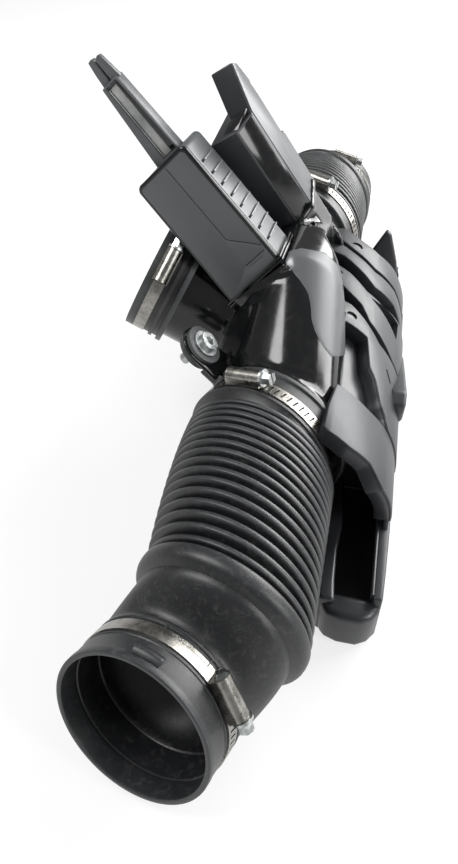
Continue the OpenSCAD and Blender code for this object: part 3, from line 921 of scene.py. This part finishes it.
def plate(name: str, corners: Sequence[Point2], near: float, far: float, corner: float,
          soften: float) -> bpy.types.Object:
    """Makes a plate from an outline seen along Y, with rounded corners.

    Args:
        name: The plate's name.
        corners: Its corners as X and Z.
        near: The level of its face.
        far: The level of its back.
        corner: Radius of its corners.
        soften: Width of the bevel on its other edges, or nothing.

    Returns:
        The plate.
    """
    thing = extruded(name, Axis.Y, near, corners, far - near)
    select_edges(thing, lambda way: abs(way.y) > ALONG)
    bpy.ops.mesh.bevel(offset=corner, segments=6, affect="EDGES")
    release()
    if soften:
        soften_edges(thing, soften, 3, 50.0)
    return thing


@dataclass
class NearBox:
    """Leaning resonator box with a rimmed cover, stepped side and a hollow horn with a forked tip."""

    base: tuple[float, float, float] = (-4.8, -36.0, 178.3)
    lean: float = 43.5
    splay: float = 3.0
    depth: float = 36.5
    height: float = 104.0
    top_w: float = 49.0
    foot_w: float = 54.0
    foot_drop: float = 5.0
    cover_t: float = 4.0
    corner: float = 4.5
    steps: int = 8
    step_pitch: float = 9.75
    first_step: float = 18.5
    horn_y: float = 13.0
    horn_depth: float = 12.0
    horn_foot: tuple[float, float] = (-32.4, -9.3)
    horn_tip: tuple[float, float] = (-25.0, -10.4)
    horn_top: float = 162.2

    @property
    def at(self) -> Matrix:
        """Transform of the box, Z along its length and -Y out of its cover."""
        return placed(self.base, Matrix.Rotation(math.radians(-self.lean), 3, "Y")
                      @ Matrix.Rotation(math.radians(-self.splay), 3, "X"))

    def outline(self, inset: float) -> list[Point2]:
        """Gives the cover's four corners, moved in by a distance."""
        return [(-inset, inset), (-inset, self.height - inset),
                (inset - self.top_w, self.height - 1.0 - inset),
                (inset * 1.2 - self.foot_w, inset - self.foot_drop)]

    def body(self) -> bpy.types.Object:
        """Makes the shell with its ribbed side and its horn."""
        shell = plate("near_box_shell", self.outline(0.4), self.cover_t + 0.3, self.depth, self.corner, 1.6)
        ribs = []
        for k in range(self.steps):
            z = self.first_step + k * self.step_pitch
            reach = self.depth - 2.6 - 0.6 * k
            cut(shell, slab("notch", (-3.0, 7.4, z - 1.0), (1.0, 9.8, z + 1.0), 0.3, 0.0))
            ribs.append(slab("rib", (-1.0, 9.6, z - 0.7), (1.5, reach, z + 0.7), 0.3, 0.5))
        return join([shell, *ribs, *self.horn(), *self.fork()], "near_box_body")

    def horn(self) -> list[bpy.types.Object]:
        """Makes the tapered horn with a channel sunk into its front."""
        y, z0, z1 = self.horn_y, self.height - 3.0, self.horn_top
        (a0, b0), (a1, b1) = self.horn_foot, self.horn_tip
        horn = extruded("horn", Axis.Y, y, [(a0, z0), (b0, z0), (b1, z1), (a1, z1)], self.horn_depth)
        select_edges(horn, lambda way: abs(way.y) < 0.3 and abs(way.z) > 0.9)
        bpy.ops.mesh.bevel(offset=1.6, segments=3, affect="EDGES")
        release()
        soften_edges(horn, 0.7, 2, 50.0)
        sink = extruded("sink", Axis.Y, y - 2, [(-23.6, z0 + 3.6), (-10.8, z0 + 3.6), (-12.0, z1 - 1.4),
                                                (-22.1, z1 - 1.4)], 5.0)
        cut(horn, sink)
        soften_edges(horn, 0.3, 2, 50.0)
        return [horn]

    def fork(self) -> list[bpy.types.Object]:
        """Makes the two prongs of the tip and the web between them."""
        y, z = self.horn_y + 2.0, self.horn_top - 2.0
        left = extruded("prong", Axis.Y, y, [(-23.8, z), (-17.4, z), (-16.6, z + 17.6), (-17.4, z + 19.1),
                                             (-20.6, z + 18.8), (-22.4, z + 10.0)], 6.0, 0.4)
        right = extruded("prong", Axis.Y, y, [(-15.6, z), (-8.6, z), (-10.6, z + 17.2), (-12.4, z + 18.0),
                                              (-15.4, z + 16.8)], 4.0, 0.4)
        web = extruded("web", Axis.Y, y + 2.0, [(-18.5, z), (-14.5, z), (-14.5, z + 15.6),
                                                (-18.5, z + 16.6)], 3.0, 0.3)
        return [left, right, web]

    def rim(self) -> bpy.types.Object:
        """Makes the cover's glossy rim, the box's two flanges and a black strip of painted shade in the
        horn.
        """
        rim = plate("near_rim", self.outline(0.0), 0.5, self.cover_t + 0.6, self.corner, 1.9)
        flanges = []
        for z in (0.2, 2.6):
            low = -self.foot_drop
            flanges.append(prism("flange", [(-self.foot_w - 1.6, -1.6, low + z), (3.0, -1.6, z + 2.0),
                                            (3.0, self.depth + 2.0, z + 2.0),
                                            (-self.foot_w - 1.6, self.depth + 2.0, low + z)],
                                 (0.0, 0.0, 1.6), 0.6))
        # Glossy black strip along the horn's channel: painted shade for the channel's wall in shadow
        y, z1 = self.horn_y + 1.2, self.horn_top - 2.6
        painted_shade_strip = extruded("painted_shade_strip", Axis.Y, y, [(-15.3, self.height + 1.0), (-10.6, self.height + 1.0),
                                                (-11.9, z1), (-14.4, z1)], 2.5, 0.2)
        return join([rim, painted_shade_strip, *flanges], "near_box_rim")

    def channel(self) -> bpy.types.Object:
        """Makes the floor of the horn's channel with its rounded bead, pale as painted reflection of the
        lamps.
        """
        y, low, z1 = self.horn_y + 1.6, self.height + 1.0, self.horn_top - 3.4
        floor = extruded("near_box_channel", Axis.Y, y, [(-22.0, low), (-15.6, low), (-14.6, z1),
                                                         (-20.8, z1)], 2.0, 0.5, 3)
        bead = extruded("bead", Axis.Y, y - 0.6, [(-23.2, low), (-22.6, low), (-21.4, z1), (-22.0, z1)],
                        1.6, 0.2)
        return join([floor, bead], "near_box_channel")

    def face(self) -> bpy.types.Object:
        """Makes the cover's flat face with its engraved lines."""
        face = plate("near_box_face", self.outline(2.8), 0.0, 2.5, 2.6, 0.0)
        for start, end in [((-20.3, 100.4), (-21.4, 37.5)), ((-21.4, 37.5), (-3.4, 19.6)),
                           ((-23.1, 14.0), (-4.4, 15.6))]:
            groove(face, start, end, 0.0, 0.7, 0.5)
        groove(face, (-22.0, 11.6), (-8.0, 12.8), 0.0, 0.35, 0.25)
        soften_edges(face, 0.25, 2, 50.0)
        return face

    def build(self) -> None:
        """Makes the box and hands its pieces over."""
        body, rim, face, channel = self.body(), self.rim(), self.face(), self.channel()
        for thing in (body, rim, face, channel):
            smooth(seat(thing, self.at), BOX_CREASE)
        # The channel's pale finish is painted reflection
        hand_over(channel, Finish.PAINTED_GLARE, "box")
        hand_over(body, Finish.SATIN, "box", "near_resonator")
        hand_over(face, Finish.SATIN, "cover", "near_cover")
        hand_over(rim, Finish.GLOSS, "cover")


@dataclass
class FarBox:
    """Second resonator box: a dark face, a glossy chamfer, a pale side with a step and a leaning tip."""

    base: tuple[float, float, float] = (5.4, 29.0, 184.4)
    lean: float = 31.5
    splay: float = 14.0
    width: float = 34.0
    depth: float = 44.0
    height: float = 86.0
    chamfer: float = 11.5
    chamfer_y: float = 15.5
    back: float = 18.0
    tip_w: float = 17.0
    tip_len: float = 29.0

    @property
    def at(self) -> Matrix:
        """Transform of the box, Z along its length."""
        return placed(self.base, Matrix.Rotation(math.radians(-self.lean), 3, "Y")
                      @ Matrix.Rotation(math.radians(self.splay), 3, "X"))

    def body(self) -> bpy.types.Object:
        """Makes the dark shell and its tip."""
        c, w, d, foot = self.chamfer_y, self.width, self.depth, -9.0
        shell = extruded("far_box_shell", Axis.Z, foot, [(-self.chamfer, 0.0), (0.0, c), (0.0, d),
                                                         (-self.back, d), (-w, 0.0)], self.height - foot,
                         1.1, 3)
        top, t = self.height, self.tip_len
        tip = extruded("far_tip", Axis.X, -self.tip_w, [(c, top - 8.0), (c, top), (34.0, top + t),
                                                        (d - 3.0, top + t - 5.0), (d - 1.0, top - 8.0)],
                       self.tip_w - 0.2, 1.1, 3)
        return join([shell, tip], "far_box_body")

    def web(self) -> bpy.types.Object:
        """Makes the black web that joins the tip to the body."""
        c, top = self.chamfer_y, self.height
        return prism("far_box_web", [(-24.5, 0.6, top - 1.0), (-18.0, c - 0.6, top + 2.5),
                                     (-1.5, c - 0.6, top + 5.0), (-self.chamfer - 0.5, 0.6, top - 1.0)],
                     (0.0, 4.0, -6.0), 0.6)

    def strip(self) -> bpy.types.Object:
        """Makes the glossy chamfer with the thin bead that frames it."""
        c, c_y, h, foot = self.chamfer, self.chamfer_y, self.height, -7.0
        way = Vector((c, c_y, 0.0)).normalized()
        out = Vector((way.y, -way.x, 0.0)) * 0.45
        a, b = Vector((-c, 0.0, 0.0)) + way * 1.2, Vector((0.0, c_y, 0.0)) - way * 1.2
        strip = prism("far_box_strip", [a + out + Vector((0, 0, foot)), b + out + Vector((0, 0, foot)),
                                        b + out + Vector((0, 0, h - 1.6)),
                                        a + out + Vector((0, 0, h - 1.6))], -out * 2.0, 0.3)
        bead = slab("bead", (-self.width - 1.0, -0.5, -10.0), (0.6, 1.2, -7.0), 0.6, 0.4)
        return join([strip, bead], "far_box_strip")

    def side(self) -> bpy.types.Object:
        """Makes the pale side with its step, the back cover and the small clip at the top."""
        c, d, h, foot = self.chamfer_y, self.depth, self.height, -8.0
        side = extruded("far_box_side", Axis.X, -0.4, [(c + 1.0, foot), (d + 7.0, foot), (d + 7.0, 42.0),
                                                       (d, 48.0), (d + 1.0, h),
                                                       (d - 2.4, h + self.tip_len - 5.6),
                                                       (34.6, h + self.tip_len - 0.8),
                                                       (c + 1.0, h + 0.5)], 1.0, 0.4)
        cover = slab("far_back", (-self.back, d - 0.5, 0.4), (0.2, d + 3.0, h - 0.4), 4.0, 0.8)
        wide = slab("far_back_low", (-self.back, d + 2.0, 0.4), (0.2, d + 7.6, 45.0), 1.5, 0.8)
        clip = extruded("clip", Axis.X, -3.0, [(d - 4.0, h + 20.0), (d + 0.5, h + 19.0),
                                               (d + 4.0, h + 6.0), (d + 1.0, h + 4.0),
                                               (d - 1.0, h + 8.0)], 3.0, 0.4)
        return join([side, cover, wide, clip], "far_box_side")

    def build(self) -> None:
        """Makes the box and hands its pieces over."""
        body, strip, side, web = self.body(), self.strip(), self.side(), self.web()
        for thing in (body, strip, side, web):
            smooth(seat(thing, self.at), BOX_CREASE)
        hand_over(body, Finish.NIGHT, "box", "far_resonator")
        hand_over(side, Finish.SATIN, "cover", "far_cover")
        hand_over(strip, Finish.GLOSS, "box")
        hand_over(web, Finish.GLOSS, "box")


# Plenum


@dataclass
class Plenum:
    """Blow moulded plenum: its CAD form with every edge melted round as the mould leaves it."""

    voxel: float = 2.0
    rounds: int = 8
    ease: float = 0.6
    crease: float = 60.0
    flat_lift: float = 0.35
    flat_before: float = 25.0
    flat_reach: float = 60.0
    flat_at: Vector = field(default_factory=lambda: Vector((25.0, -55.0, 150.0)))
    flat_way: Vector = field(default_factory=lambda: Vector((-0.05, 0.832, -0.553)))
    flat_right: Vector = field(default_factory=lambda: Vector((0.998, 0.06, 0.0)))
    flat_up: Vector = field(default_factory=lambda: Vector((-0.033, 0.552, 0.833)))
    flat: tuple[Point2, ...] = ((-26.9, 36.0), (-21.5, 30.9), (-15.2, 24.4), (-10.4, 18.6), (-7.9, 14.6),
                                (-5.7, 7.1), (-4.0, -2.5), (-1.2, -9.3), (3.1, -16.0), (7.9, -22.0),
                                (11.9, -25.9), (22.5, -25.7), (18.2, 13.2), (9.8, 38.7), (0.7, 46.2),
                                (-17.5, 47.6), (-25.6, 44.3))

    def panel(self, skin: bpy.types.Object) -> bpy.types.Object:
        """Cuts the pale panel out of a copy of the skin and lifts it a little.

        Args:
            skin: The finished skin, still in millimetres.

        Returns:
            The panel.
        """
        use(skin)
        bpy.ops.object.duplicate()
        panel = bpy.context.object
        panel.name = "plenum_panel"
        foot = self.flat_at - self.flat_way * self.flat_before
        outline = [foot + self.flat_right * a + self.flat_up * b for a, b in self.flat]
        cut(panel, prism("flat", outline, tuple(self.flat_way * self.flat_reach)), "INTERSECT")
        modify(panel, "DISPLACE", strength=self.flat_lift, mid_level=0.0)
        return panel

    def build(self) -> None:
        """Copies the node's mesh, remeshes it closely, relaxes it and hands it over with its pale panel."""
        copy = copy_node("plenum", "plenum_skin")
        modify(copy, "REMESH", mode="VOXEL", voxel_size=self.voxel)
        modify(copy, "SMOOTH", factor=self.ease, iterations=self.rounds)
        hand_over(smooth(self.panel(copy), self.crease), Finish.SATIN, "plenum")
        hand_over(smooth(copy, self.crease), Finish.GLOSS, "plenum", "plenum")


# Side silencer


@dataclass(frozen=True)
class Band:
    """A strap of the silencer, its corners as degrees from straight up and a place along the part."""

    name: str
    radius: float
    outline: tuple[Point2, ...]
    slots: tuple[Slot, ...] = ()
    opening: tuple[Point2, ...] = ()


BANDS = (
    Band("band_top", 77.0, ((-2.3, 104), (-2.3, 113), (0, 117.5), (9.9, 122), (24.5, 111.5), (38.2, 108.4),
                            (54, 113), (90, 112), (90, 76), (57.6, 84.6), (35.4, 79.8), (18.4, 91),
                            (4.4, 105)),
         ((20.7, 99.5, 10.0, 9.0, 0.0),)),
    Band("band_upper", 77.0, ((-9.9, 79), (-9.9, 94), (1.3, 101.5), (17.4, 86), (35.8, 74.6), (57.8, 80.6),
                              (90, 72), (90, 48), (57.9, 58.1), (37.1, 51.4), (13.3, 73.6), (3.2, 77.7))),
    Band("band_middle", 79.0, ((0.4, 36), (0.4, 55.6), (9.8, 53.7), (18.6, 46.6), (30.6, 32.8), (45, 31),
                               (66.2, 43), (90, 40), (90, -27), (59.2, -22.6), (35.3, -5.4), (28.5, 9.5),
                               (18.6, 19), (11.7, 28)),
         ((10.0, 41.5, 10.0, 8.0, 0.0),), ((33.5, 27), (62.8, 37.5), (61.5, 12))),
    Band("band_lower", 79.0, ((12, 4.4), (22.2, 2.2), (31.6, -7), (44.5, -22.6), (59.2, -25), (90, -29),
                              (90, -103), (60.1, -102.2), (55.6, -93.8), (49.8, -85.8), (44.1, -67.8),
                              (38.7, -58.7), (34.8, -27.4), (17.8, -22.8), (12, -22.8)),
         ((23.3, -12.0, 9.0, 8.0, 0.0), (55.0, -47.0, 12.0, 2.4, -52.0), (63.0, -58.0, 12.0, 2.4, -52.0))),
    Band("band_near", 78.0, ((18.5, -122), (21, -97.2), (30.1, -100.3), (42.8, -103.5), (60.4, -102.6),
                             (90, -103), (90, -150), (60, -158), (54.7, -155.5), (47.1, -150.3),
                             (32.8, -150.5), (20.9, -146.4), (18, -142.5))),
)


@dataclass
class Silencer:
    """Blow moulded side silencer: satin bands over a dark sunk core, an open recess and a rounded foot."""

    centre: tuple[float, float] = (17.0, 54.0)
    core_r: float = 67.0
    step_deg: float = 4.0
    side_x: float = 96.4
    rail_in: float = 88.0
    rail_h: float = 41.0
    far_y: float = 118.0
    near_y: float = -100.0
    foot_y: float = -219.0
    crease: float = 40.0
    skin_t: float = 2.6
    core_t: float = 11.0
    core_sunk: float = 1.4
    edge: float = 0.9

    def panel(self, name: str, outline: Sequence[Point2], radius: float, thick: float, soften: float = 0.8,
              slots: Sequence[Slot] = ()) -> bpy.types.Object:
        """Makes a piece of shell on the arch.

        Args:
            name: The piece's name.
            outline: Its corners, as an angle from straight up in degrees and a place along the part.
            radius: Radius of its outer face.
            thick: Its thickness.
            soften: Width of the bevel on its edges.
            slots: Holes through it, each as an angle, a place along the part, a length, a width and a slant.

        Returns:
            The piece.
        """
        per_deg = math.radians(radius)
        thing = extruded(name, Axis.Z, 0.0, [(angle * per_deg, y) for angle, y in outline], -thick,
                         soften, 3)
        for angle, y, length, width, slant in slots:
            turn = Matrix.Rotation(math.radians(slant), 3, "Z")
            cut(thing, self.pocket((length, width, 3 * thick), width * 0.49,
                                   placed((angle * per_deg, y, 0.0), turn)))
        use(thing)
        bpy.ops.object.mode_set(mode="EDIT")
        low, high = min(a for a, _ in outline), max(a for a, _ in outline)
        for k in range(1, int((high - low) / self.step_deg)):
            bpy.ops.mesh.select_all(action="SELECT")
            bpy.ops.mesh.bisect(plane_co=((low + k * self.step_deg) * per_deg, 0.0, 0.0),
                                plane_no=(1.0, 0.0, 0.0))
        release()
        x0, z0 = self.centre
        for corner in thing.data.vertices:
            angle, reach = corner.co.x / radius, radius + corner.co.z
            corner.co = (x0 + reach * math.sin(angle), corner.co.y, z0 + reach * math.cos(angle))
        return mend(thing, 0.004)

    def pocket(self, size: Sequence[float], corner: float, at: Matrix) -> bpy.types.Object:
        """Makes a rounded block to cut with.

        Args:
            size: Its width across, length along the part and depth.
            corner: Radius of its upright corners.
            at: Where its middle goes.

        Returns:
            The block.
        """
        release()
        bpy.ops.mesh.primitive_cube_add(size=1.0, scale=size)
        thing = bpy.context.object
        seat(thing)
        select_edges(thing, lambda way: abs(way.z) > ALONG)
        bpy.ops.mesh.bevel(offset=corner, segments=4, affect="EDGES")
        release()
        return seat(thing, at)

    def bands(self, lift: float, thick: float, soften: float, slotted: bool) -> list[bpy.types.Object]:
        """Makes the five bands.

        Args:
            lift: How far their outer faces stand above the bands' own radius.
            thick: Their thickness.
            soften: Width of the bevel on their edges.
            slotted: True where they have their slots. The three-cornered opening is cut in either case.

        Returns:
            The bands.
        """
        made = []
        for band in BANDS:
            piece = self.panel(band.name, band.outline, band.radius + lift, thick, soften,
                               band.slots if slotted else ())
            if band.opening:
                cut(piece, self.panel("opening", band.opening, band.radius + 1.0, 16.0, 0.3))
            made.append(piece)
        return made

    def sides(self) -> list[bpy.types.Object]:
        """Makes the skirt, the outer rail, the tongue on it and the ear."""
        x1, x0, h = self.side_x, self.rail_in, self.rail_h
        skirt = extruded("skirt", Axis.X, x1 - 6.0, [(-154.0, 22.0), (-140.0, 60.0),
                                                     (self.far_y - 14.0, 60.0),
                                                     (self.far_y - 14.0, 22.0)], 4.2, 1.4, 3)
        rail = extruded("rail", Axis.Z, 0.0, [(x0, self.far_y), (x1, self.far_y), (x1, -145.0),
                                              (95.5, -182.0), (94.5, -206.0), (x0, -206.0)], h, 1.8, 3)
        tongue = extruded("tongue", Axis.X, x1 - 12.0, [(46.0, 46.0), (32.0, 62.0), (-16.0, 80.0),
                                                        (-56.0, 94.0), (-67.0, 89.0), (-62.0, 70.0),
                                                        (-40.0, 46.0)], 12.6, 2.6, 4)
        ear = extruded("ear", Axis.Y, 203.0, [(54.0, 58.0), (70.0, 90.5), (75.0, 87.0), (85.0, 56.0),
                                              (92.0, 20.0), (56.0, 20.0)], 7.0, 2.2, 3)
        return [skirt, rail, tongue, ear]

    def low_parts(self) -> list[bpy.types.Object]:
        """Makes the darker parts near the floor: the post beside the hose and the rounded foot."""
        post = extruded("post", Axis.Z, 0.0, [(43.0, -100.0), (60.0, -96.0), (62.0, -125.0),
                                              (63.0, -146.0), (61.5, -167.0), (62.5, -193.0),
                                              (64.0, -210.0), (54.0, -210.0), (46.0, -190.0)], 38.0, 2.6,
                        4)
        y = self.foot_y
        foot = extruded("foot", Axis.Z, 0.2, [(53.0, -200.0), (54.5, y + 9.0), (60.0, y + 3.0), (69.0, y),
                                              (82.0, y), (89.0, y + 4.0), (94.0, y + 11.0),
                                              (95.0, -200.0)], 33.0, 7.5, 6)
        return [post, foot]

    def tail(self) -> bpy.types.Object:
        """Keeps the far end of the node's own mesh, cut off behind the bands."""
        tail = copy_node("side_silencer", "tail")
        use(tail)
        bpy.ops.object.mode_set(mode="EDIT")
        bpy.ops.mesh.select_all(action="SELECT")
        bpy.ops.mesh.bisect(plane_co=(0.0, self.far_y - 4.0, 0.0), plane_no=(0.0, 1.0, 0.0), use_fill=True,
                            clear_inner=True)
        release()
        return tail

    def core(self) -> bpy.types.Object:
        """Makes the dark sunk parts: the core under the bands, the recess floor, its lip and its lap."""
        shell = self.panel("core_shell", [(-8, self.near_y + 3), (-8, self.far_y - 12),
                                          (92, self.far_y - 12), (92, self.near_y + 3)], self.core_r,
                           22.0, 1.0)
        block = slab("core_block", (43.0, self.near_y + 2.0, 3.0),
                     (self.rail_in + 1.0, self.far_y - 10.0, 70.0), 1.0, 0.8)
        floor = slab("recess_floor", (44.0, self.foot_y + 14.0, 2.0),
                     (self.rail_in + 2.0, self.near_y + 6.0, 6.0), 1.0, 0.5)
        lip = slab("recess_lip", (self.rail_in - 1.6, -203.0, 33.0), (self.rail_in + 1.0, -104.0, 41.6),
                   1.3, 1.2)
        lap = slab("recess_lap", (60.0, self.near_y - 1.0, 26.0), (86.0, self.near_y + 4.0, 30.0), 1.0, 0.8)
        under = self.bands(-self.core_sunk, self.core_t, self.edge, False)
        return join([shell, block, floor, lip, lap, *under], "silencer_core")

    def build(self) -> None:
        """Makes the silencer's parts by their finish and hands them over."""
        bands = self.bands(0.0, self.skin_t, self.edge, True)
        skin = join([*bands, *self.sides(), self.tail()], "silencer_skin")
        core = self.core()
        low = join(self.low_parts(), "silencer_foot")
        # Bed of the recess in the pale finish: painted reflection on the glossy black plastic
        bed = self.panel("silencer_bed", [(32, 28), (40, 28), (62, 22), (63, 10)], 75.0, 5.0, 1.0)
        for thing in (skin, core, low, bed):
            smooth(thing, self.crease)
        hand_over(seat(skin), Finish.PANEL, "silencer", "side_silencer")
        hand_over(seat(core), Finish.NIGHT, "silencer")
        hand_over(seat(low), Finish.NIGHT, "silencer")
        hand_over(seat(bed), Finish.PAINTED_GLARE, "silencer")


def copy_node(node: str, name: str) -> bpy.types.Object:
    """Copies a CAD node's mesh as a piece of its own, merged and in millimetres.

    Args:
        node: The CAD node.
        name: The copy's name.

    Returns:
        The copy.
    """
    use(NODES[node])
    bpy.ops.object.duplicate()
    copy = bpy.context.object
    copy.name = name
    for key in list(copy.keys()):
        del copy[key]
    bpy.ops.object.parent_clear(type="CLEAR_KEEP_TRANSFORM")
    mend(copy, 1e-6)
    return seat(copy, TO_SCENE.inverted())


def main() -> None:
    """Builds the studio and the object's sub-assemblies in order."""
    logging.basicConfig(level=logging.INFO, format="%(name)s: %(message)s")
    bpy.ops.object.select_all(action="DESELECT")
    Studio().build()
    looks = {"plenum": Finish.GLOSS, "side_silencer": Finish.PANEL, "near_resonator": Finish.SATIN,
             "near_cover": Finish.SATIN, "far_resonator": Finish.GLOSS, "far_cover": Finish.SATIN,
             "hose_rh": Finish.RUBBER, "hose_lh": Finish.RUBBER, "outlet_cuff": Finish.RUBBER,
             "grommet": Finish.RUBBER, "sleeve": Finish.ZINC, "bolt": Finish.ZINC}
    for name in NODES:
        kind = looks.get(name, Finish.ZINC if name.startswith("screw") else Finish.STRIP)
        dress(name, kind)
    for part in (*hoses(), NearBox(), FarBox(), Plenum(), Silencer()):
        part.build()


if __name__ == "__main__":
    main()
